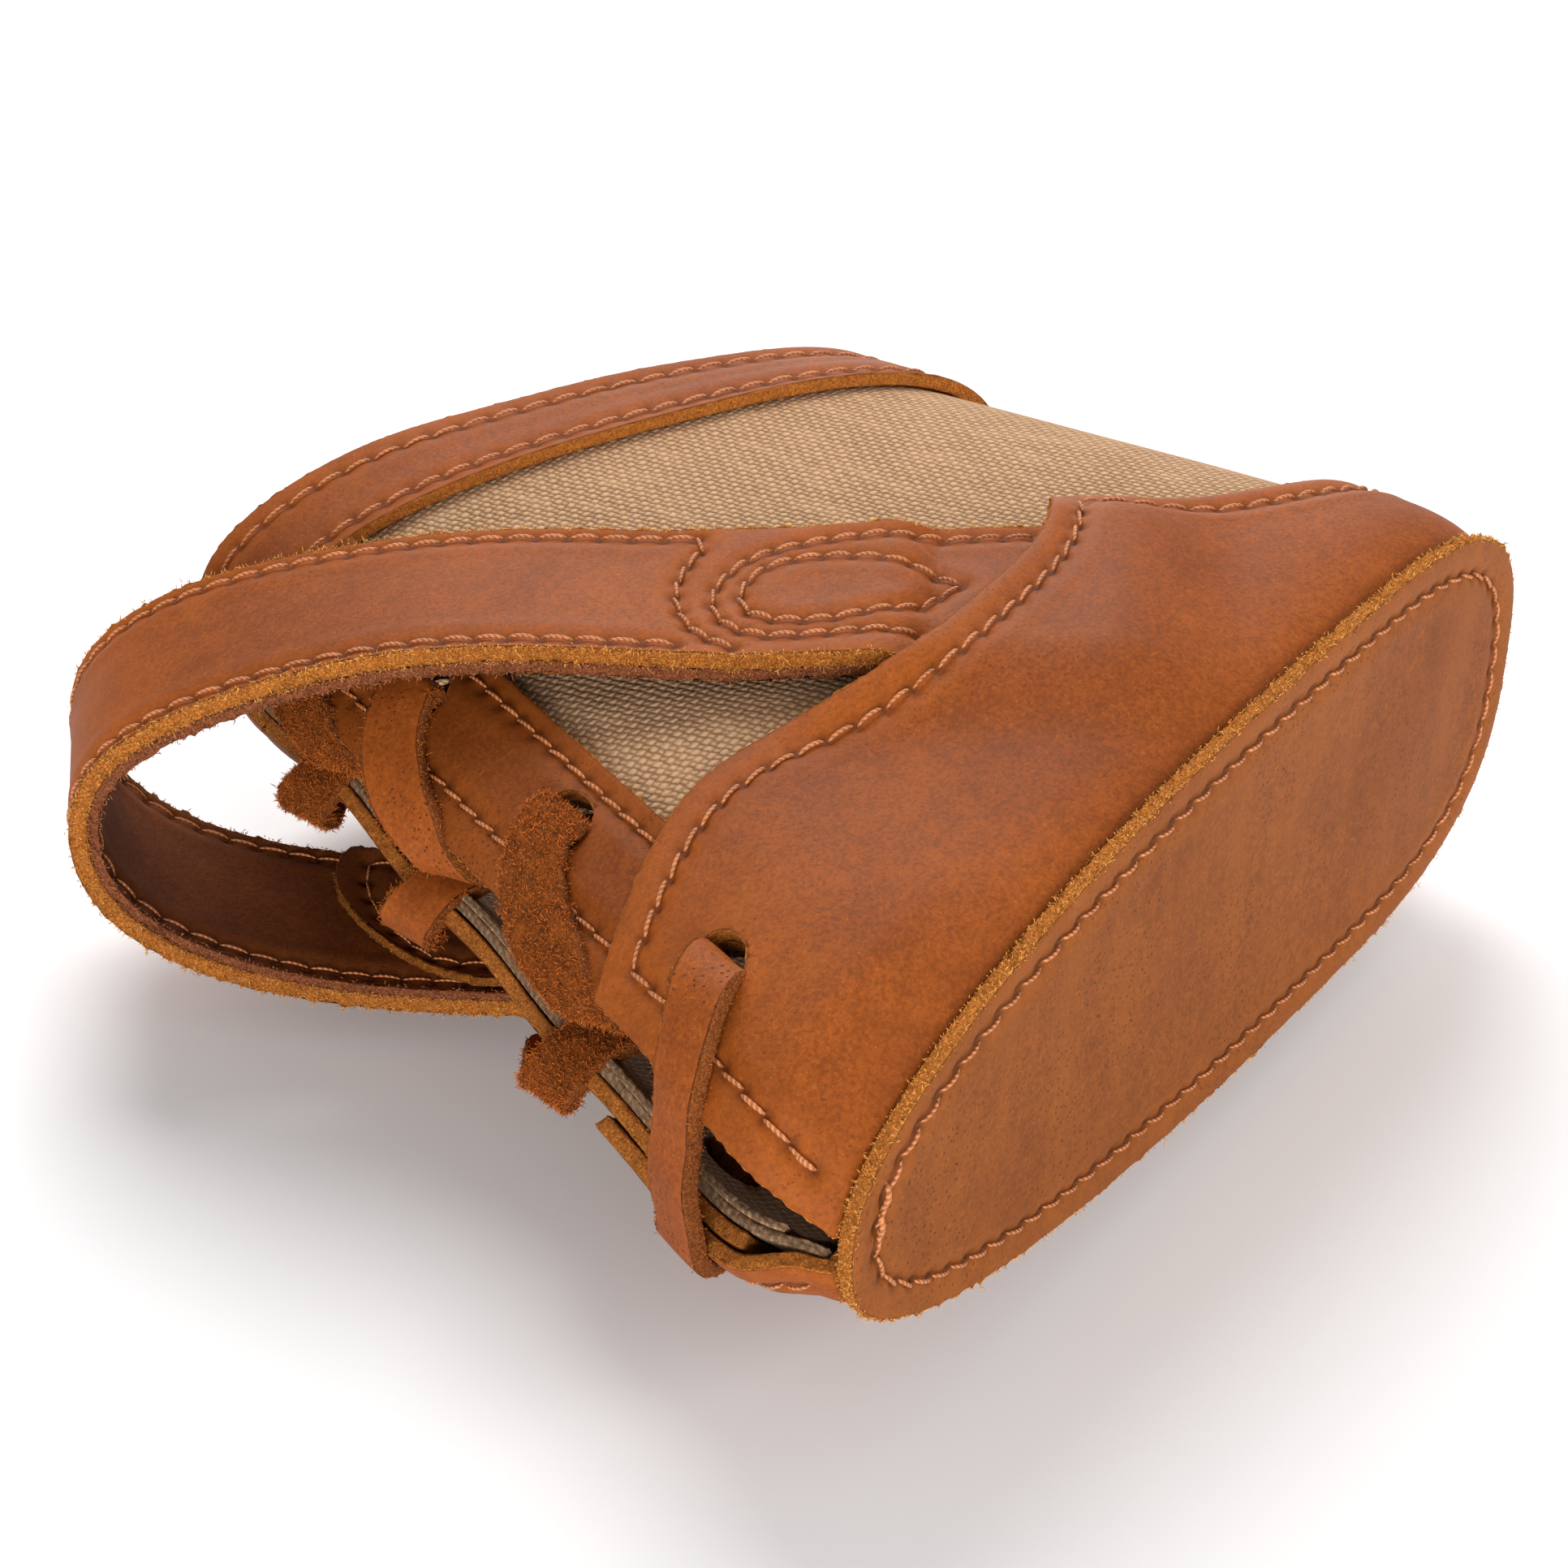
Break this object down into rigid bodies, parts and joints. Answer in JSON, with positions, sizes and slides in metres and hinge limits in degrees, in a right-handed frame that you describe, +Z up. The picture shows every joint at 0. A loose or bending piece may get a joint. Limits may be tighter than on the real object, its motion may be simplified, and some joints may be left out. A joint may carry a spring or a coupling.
{
  "type": "laced leather and canvas sleeve",
  "caption": "Short oval sleeve of canvas with leather boot, mouth band and base, laced along one side, with a padded strap loop at the laced edge.",
  "frame": {"origin": "centre of the bounding box's underside: the sleeve lies on its side on Z = 0", "axes": "+Y from the closed base to the open mouth, +X from the laced side to the heel side, +Z up through the upper side panel"},
  "size_m": [0.1403, 0.1298, 0.0602],
  "materials": {
    "leather": "oiled nubuck, chestnut, with raw ochre edges",
    "base_leather": "oiled nubuck, olive brown",
    "inner_leather": "thin lining leather, reddish brown edge",
    "lace_leather": "flat lace, grain on one face and suede on the other",
    "canvas": "heavy ribbed cotton canvas",
    "lining_cloth": "brushed cotton",
    "pad": "dense felt",
    "thread": "waxed twisted thread, salmon orange"
  },
  "bodies": {
    "sleeve": {"base_panel": "base_leather", "base_pad": "pad", "lining": "lining_cloth", "canvas_body": "canvas", "boot": "leather", "mouth_band": "leather", "facing_a": "leather", "facing_b": "leather", "strap_face_end_a": "leather", "strap_face_end_b": "leather", "strap_inner_end_a": "inner_leather", "strap_inner_end_b": "inner_leather", "tab_root_a": "leather", "tab_root_b": "leather", "lace_bar": "lace_leather", "lace_over_a": "lace_leather", "lace_over_b": "lace_leather", "base_stitching": "thread", "boot_stitching_a": "thread", "boot_stitching_b": "thread", "mouth_stitching": "thread", "facing_stitching_a": "thread", "facing_stitching_b": "thread", "strap_stitching_a": "thread", "strap_stitching_b": "thread"},
    "loop": {"strap_face_loop": "leather", "strap_inner_loop": "inner_leather", "tab_tip_a": "leather", "tab_tip_b": "leather", "strap_stitching_loop": "thread"}
  },
  "joints": [
    {"name": "loop_flex", "type": "hinge", "parent": "sleeve", "child": "loop", "pos_m": [-0.0196, 0.0081, 0.0301], "axis": [0.8572, 0.515, 0], "range_deg": [0, 8], "stiffness_Nm_per_rad": 0.15}
  ]
}
